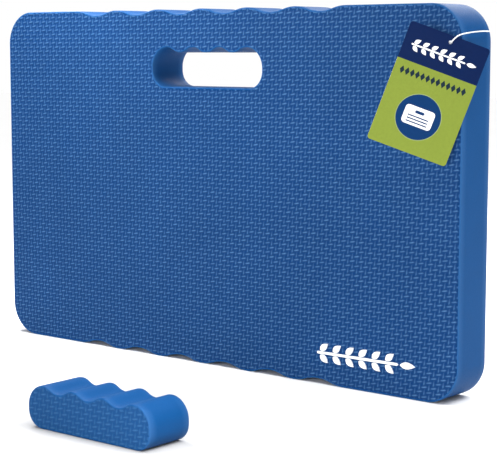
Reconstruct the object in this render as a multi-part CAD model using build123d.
from build123d import *

import math
import os

# A foam garden kneeling pad standing on its long edge, with the plug cut out of its
# handle slot on the ground in front of it and a hang tag on a string at one corner.
# Millimetres. X runs along the pad's width, +Y from the kneeling face to the back,
# +Z is up. The origin is on the ground, midway along the kneeling face's bottom edge.

# Foam slab: 18 x 11 x 1.5 in
PAD_WIDTH = 457.2
PAD_HEIGHT = 279.4
PAD_THICKNESS = 38.1
CORNER_RADIUS = 27.0
EDGE_RADIUS = 1.5

# Finger waves along the middle of the top and bottom edges
GRIP_CENTRE = -8.0
GRIP_PITCH = 45.8
GRIP_DEPTH = 3.8
GRIP_DIPS = 6

# Handle slot, with finger recesses along its upper side
SLOT_CENTRE = -3.0
SLOT_LENGTH = 112.0
SLOT_HEIGHT = 31.0
SLOT_DROP = 30.0  # from the slab's top edge down to the highest point of the slot
SLOT_RECESSES = 4
SLOT_PITCH = 27.0
SLOT_WAVE_DEPTH = 4.0
SLOT_LOWER_RADIUS = 13.0
SLOT_UPPER_RADIUS = (SLOT_LENGTH - (SLOT_RECESSES - 1) * SLOT_PITCH) / 2
SLOT_TOP = PAD_HEIGHT - SLOT_DROP
SLOT_BOTTOM = SLOT_TOP - SLOT_HEIGHT

# Plug cut from the slot, standing on the ground square to the pad
PLUG_CLEARANCE = 1.0
PLUG_CENTRE = 91.0
PLUG_FRONT = -224.0

# Hang tag: a card square to a line of sight from the front right, just clear of the
# slab's upright corner edge, and leaning to one side on its string
CARD_WIDTH = 57.0
CARD_HEIGHT = 84.6
CARD_THICKNESS = 0.6
CARD_CORNER = 2.0
CARD_TURN = math.radians(36.0)
CARD_LEAN = math.radians(20.4)
CARD_GAP = 0.5
HOLE_DIAMETER = 2.6
HOLE_DROP = 4.6  # from the card's top edge down to the hole's centre
HOLE_SHIFT = 1.5  # from the card's middle line to the hole's centre, to the card's right
HOLE_SIDE = 8.0  # from the slab's corner edge to the hole, along the card
HOLE_Z = 252.5

CARD_NORMAL = Vector(math.sin(CARD_TURN), -math.cos(CARD_TURN), 0)
CARD_LEVEL = Vector(math.cos(CARD_TURN), math.sin(CARD_TURN), 0)
CARD_RIGHT = CARD_LEVEL * math.cos(CARD_LEAN) - Vector(0, 0, math.sin(CARD_LEAN))
CORNER_EDGE = Vector(PAD_WIDTH / 2 - EDGE_RADIUS, EDGE_RADIUS, HOLE_Z)
HOLE_POINT = CORNER_EDGE + CARD_NORMAL * (EDGE_RADIUS + CARD_GAP) - CARD_LEVEL * HOLE_SIDE

# String: out of the slab's side wall, forward round its corner edge, over the card's
# top edge, and back through the card's hole to a knot behind it
STRING_DIAMETER = 0.9
STRING_ROUTE = [
    (224.0, 33.4, 260.0),
    (230.4, 32.4, 260.2),
    (232.5, 26.0, 260.2),
    (232.6, 18.6, 260.1),
    (232.2, 11.4, 259.7),
    (231.3, 4.4, 259.1),
    (229.9, -2.2, 258.2),
    (228.0, -6.6, 256.7),
    (223.8, -7.57, 252.5),
    (220.33, -2.79, 252.5),
]
RUN_SHARE = 0.45  # share of the shorter run that each bend's tangent length takes
KNOT_RADIUS = 1.6  # each tight overhand knot is a plain ball
PIERCE_CLEARANCE = 0.05


def wave(centre, pitch, depth, dips, level, side):
    """Tangent arcs from the first crest's top to the last one's, left to right.

    side is -1 where the dips go down from the level and +1 where they go up.
    """
    first = centre - dips * pitch / 2
    last = centre + dips * pitch / 2
    middle = level + side * depth / 2
    quarter = pitch / 4
    arcs = [TangentArc((first, level), (first + quarter, middle), tangent=(1, 0))]
    for dip in range(dips):
        x = first + (dip + 0.5) * pitch
        start, end = (x - quarter, middle), (x + quarter, middle)
        arcs.append(ThreePointArc(start, (x, level + side * depth), end))
        if dip < dips - 1:
            crest = (x + pitch / 2, level)
            arcs.append(ThreePointArc(end, crest, (x + 3 * quarter, middle)))
    arcs.append(TangentArc((last, level), (last - quarter, middle), tangent=(-1, 0)))
    return arcs


def quarter_round(start, end, tangent):
    """A corner that leaves start along tangent and reaches end."""
    return TangentArc(start, end, tangent=tangent)


def pad_outline():
    """Rounded rectangle with finger waves in its long edges."""
    side, top, r = PAD_WIDTH / 2, PAD_HEIGHT, CORNER_RADIUS
    reach = GRIP_DIPS * GRIP_PITCH / 2
    left, right = GRIP_CENTRE - reach, GRIP_CENTRE + reach
    edges = wave(GRIP_CENTRE, GRIP_PITCH, GRIP_DEPTH, GRIP_DIPS, top, -1)
    edges += wave(GRIP_CENTRE, GRIP_PITCH, GRIP_DEPTH, GRIP_DIPS, 0, 1)
    for level in (0, top):
        edges.append(Line((r - side, level), (left, level)))
        edges.append(Line((right, level), (side - r, level)))
    for x in (-side, side):
        inner = x - math.copysign(r, x)
        edges.append(Line((x, r), (x, top - r)))
        edges.append(quarter_round((x, r), (inner, 0), (0, -1)))
        edges.append(quarter_round((x, top - r), (inner, top), (0, 1)))
    return make_face(edges)


def slot_outline():
    """Flat-bottomed slot with round ends and recesses along its upper side."""
    half = SLOT_LENGTH / 2
    low, high = SLOT_LOWER_RADIUS, SLOT_UPPER_RADIUS
    edges = wave(SLOT_CENTRE, SLOT_PITCH, SLOT_WAVE_DEPTH, SLOT_RECESSES - 1, SLOT_TOP, -1)
    left, right = SLOT_CENTRE - half, SLOT_CENTRE + half
    edges.append(Line((left + low, SLOT_BOTTOM), (right - low, SLOT_BOTTOM)))
    for x, inward in ((left, 1), (right, -1)):
        edges.append(Line((x, SLOT_BOTTOM + low), (x, SLOT_TOP - high)))
        edges.append(quarter_round((x, SLOT_BOTTOM + low), (x + inward * low, SLOT_BOTTOM), (0, -1)))
        edges.append(quarter_round((x, SLOT_TOP - high), (x + inward * high, SLOT_TOP), (0, 1)))
    return make_face(edges)


def slab(outline):
    """Outline in the XZ plane made PAD_THICKNESS deep, with soft front and back edges."""
    solid = extrude(Plane.XZ * outline, amount=-PAD_THICKNESS)
    rims = [edge for face in solid.faces().filter_by(Axis.Y) for edge in face.edges()]
    return fillet(rims, EDGE_RADIUS)


def string_path():
    """The string's centre line as straight runs joined by the largest arcs that fit."""
    points = [Vector(*point) for point in STRING_ROUTE]
    radii = []
    for before, corner, after in zip(points, points[1:], points[2:]):
        incoming, outgoing = corner - before, after - corner
        half_turn = math.radians(incoming.get_angle(outgoing)) / 2
        run = min(incoming.length, outgoing.length)
        radii.append(RUN_SHARE * run / math.tan(half_turn))
    print("string bend radii", [round(radius, 1) for radius in radii])
    return FilletPolyline(points, radius=radii)


def string_tube(path, diameter):
    """Round tube along the path."""
    section = Plane(origin=path @ 0, z_dir=path % 0) * Circle(diameter / 2)
    return sweep(section, path=path)


def ball(centre, radius):
    """A ball whose seam is on its side away from the string's ends, which meet it from +X."""
    return Pos(*centre) * Rot(0, 0, 180) * Sphere(radius)


def foam_pad(path):
    """The slab with its handle slot, pierced at the side wall for the string and its knot."""
    pad = slab(pad_outline() - slot_outline())
    pierce = string_tube(path, STRING_DIAMETER + 2 * PIERCE_CLEARANCE)
    pocket = ball(STRING_ROUTE[0], KNOT_RADIUS + PIERCE_CLEARANCE)
    return pad - pierce - pocket


def handle_plug():
    """The slot's cut-out, a little smaller all round, standing on the ground."""
    plug = slab(offset(slot_outline(), amount=-PLUG_CLEARANCE))
    drop = SLOT_BOTTOM + PLUG_CLEARANCE
    return Pos(PLUG_CENTRE - SLOT_CENTRE, PLUG_FRONT, -drop) * plug


def tag_card():
    """The printed card with its string hole."""
    card = RectangleRounded(CARD_WIDTH, CARD_HEIGHT, CARD_CORNER)
    card = Pos(-HOLE_SHIFT, HOLE_DROP - CARD_HEIGHT / 2) * card - Circle(HOLE_DIAMETER / 2)
    back = Plane(origin=HOLE_POINT, x_dir=CARD_RIGHT, z_dir=CARD_NORMAL)
    return extrude(back * card, amount=CARD_THICKNESS)


def build():
    """Every piece in its place, by node name."""
    path = string_path()
    string = string_tube(path, STRING_DIAMETER)
    section = math.pi * (STRING_DIAMETER / 2) ** 2
    print("string length", round(path.length, 2))
    print("string volume", round(string.volume, 2), "section x length", round(section * path.length, 2))
    print("card hole", [round(value, 3) for value in HOLE_POINT])
    return {
        "foam_pad": foam_pad(path),
        "handle_plug": handle_plug(),
        "tag_card": tag_card(),
        "tag_string": string,
        "stop_knot": ball(STRING_ROUTE[-1], KNOT_RADIUS),
        "anchor_knot": ball(STRING_ROUTE[0], KNOT_RADIUS),
    }


os.makedirs("parts", exist_ok=True)
for node, solid in build().items():
    export_step(solid, f"parts/{node}.step")
